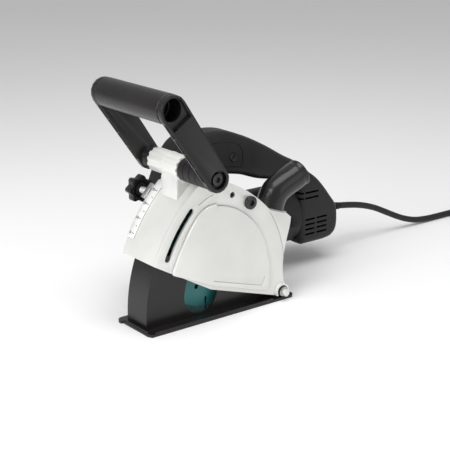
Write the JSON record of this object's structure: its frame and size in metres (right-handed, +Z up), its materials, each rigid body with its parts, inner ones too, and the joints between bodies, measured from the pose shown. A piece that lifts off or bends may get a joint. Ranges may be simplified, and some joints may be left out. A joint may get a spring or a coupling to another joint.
{
  "type": "wall chaser",
  "caption": "Corded wall chaser with a hinged plunging guard over twin diamond discs on a flat sole, a side motor with D-handle, a tilting front handle and a dust nozzle.",
  "frame": {"origin": "on the sole's underside, below the plunge hinge's axis, in the guard's middle plane", "axes": "+X the cutting direction, +Y towards the side with the wheel cover, +Z up from the floor"},
  "size_m": [0.704, 0.179, 0.2618],
  "materials": {
    "guard": "satin warm silver paint",
    "scale": "bright silver, satin",
    "base": "black paint, satin",
    "handle": "black, near satin",
    "body": "dark grey, finely textured",
    "nozzle": "black, glossy",
    "disc": "teal paint over steel",
    "steel": "turned",
    "dark_steel": "blackened steel",
    "brass": "drawn",
    "copper": "copper segments",
    "iron": "plain",
    "rubber": "matt",
    "red": "moulded",
    "carbon": "pressed carbon"
  },
  "bodies": {
    "base": {"wheel_box": "base", "hinge_pin": "steel", "hinge_clip": "dark_steel", "plunge_spring": "dark_steel", "cord_coil": "rubber", "cord_tail": "rubber", "plug": "rubber"},
    "machine": {"guard_case": "guard", "wheel_cover": "guard", "cover_screw": "dark_steel", "cover_screw_small": "dark_steel", "depth_scale": "scale", "handle_bracket": "guard", "bearing_box": "iron", "spindle_bearing": "steel", "gear_head": "body", "motor_housing": "body", "brush_cap_near": "handle", "brush_holder_near": "brass", "carbon_brush_near": "carbon", "brush_cap_far": "handle", "brush_holder_far": "brass", "carbon_brush_far": "carbon", "stator": "iron", "motor_bearing_front": "steel", "bearing_plate": "iron", "motor_bearing_rear": "steel", "handle_shell_near": "body", "handle_shell_far": "body", "switch_body": "red", "strain_relief": "rubber", "cord_run": "rubber"},
    "wheel_spindle": {"spindle": "steel", "inner_flange": "steel", "disc_far": "disc", "disc_near": "disc", "spacer_ring_1": "steel", "spacer_ring_2": "steel", "spacer_ring_3": "steel", "lock_nut": "dark_steel", "bevel_gear": "steel"},
    "armature": {"armature_shaft": "steel", "armature_core": "iron", "commutator": "copper", "cooling_fan": "rubber", "bevel_pinion": "steel"},
    "front_handle": {"handle_arm_near": "handle", "handle_arm_far": "handle", "front_grip": "handle", "grip_core": "dark_steel", "handle_spacer": "body", "handle_bolt": "dark_steel", "handle_nut": "dark_steel"},
    "depth_stop": {"stop_slider": "steel"},
    "stop_screw": {"stop_stud": "steel", "stop_knob": "handle"},
    "nozzle": {"dust_nozzle": "nozzle"},
    "trigger_lever": {"trigger": "nozzle"},
    "lock_on_button": {"lock_button": "handle"},
    "spindle_lock_pin": {"spindle_lock": "handle"}
  },
  "joints": [
    {"name": "plunge", "type": "hinge", "parent": "base", "child": "machine", "pos_m": [0, 0, 0.01], "axis": [0, 1, 0], "range_deg": [0, 17.6], "stiffness_Nm_per_rad": 6, "springref_deg": -34.38},
    {"name": "spindle_spin", "type": "hinge", "parent": "machine", "child": "wheel_spindle", "pos_m": [0.091, 0, 0.063], "axis": [0, 1, 0], "continuous": true},
    {"name": "armature_spin", "type": "hinge", "parent": "machine", "child": "armature", "pos_m": [0, -0.069, 0.063], "axis": [1, 0, 0], "continuous": true},
    {"name": "handle_tilt", "type": "hinge", "parent": "machine", "child": "front_handle", "pos_m": [0.121, 0, 0.169], "axis": [0, 1, 0], "range_deg": [-12, 40]},
    {"name": "stop_travel", "type": "hinge", "parent": "machine", "child": "depth_stop", "pos_m": [0, 0, 0.01], "axis": [0, 1, 0], "range_deg": [0, 16.1]},
    {"name": "stop_knob_turn", "type": "hinge", "parent": "depth_stop", "child": "stop_screw", "pos_m": [0.13158, -0.05, 0.13356], "axis": [0, 1, 0], "continuous": true},
    {"name": "nozzle_swivel", "type": "hinge", "parent": "machine", "child": "nozzle", "pos_m": [-0.0067, 0, 0.1001], "axis": [-0.319, 0, 0.9478], "range_deg": [-90, 90]},
    {"name": "trigger_pull", "type": "hinge", "parent": "machine", "child": "trigger_lever", "pos_m": [0.044, -0.069, 0.136], "axis": [0, 1, 0], "range_deg": [0, 7], "stiffness_Nm_per_rad": 0.35, "springref_deg": -22.92},
    {"name": "lock_press", "type": "slide", "parent": "machine", "child": "lock_on_button", "axis": [0, -1, 0], "range_m": [0, 0.002], "stiffness_N_per_m": 400, "springref_m": -0.002},
    {"name": "spindle_lock_press", "type": "slide", "parent": "machine", "child": "spindle_lock_pin", "axis": [-1, 0, 0], "range_m": [0, 0.003], "stiffness_N_per_m": 500, "springref_m": -0.002}
  ],
  "couplings": [
    {"joint": "armature_spin", "follows": "spindle_spin", "ratio": 3}
  ]
}
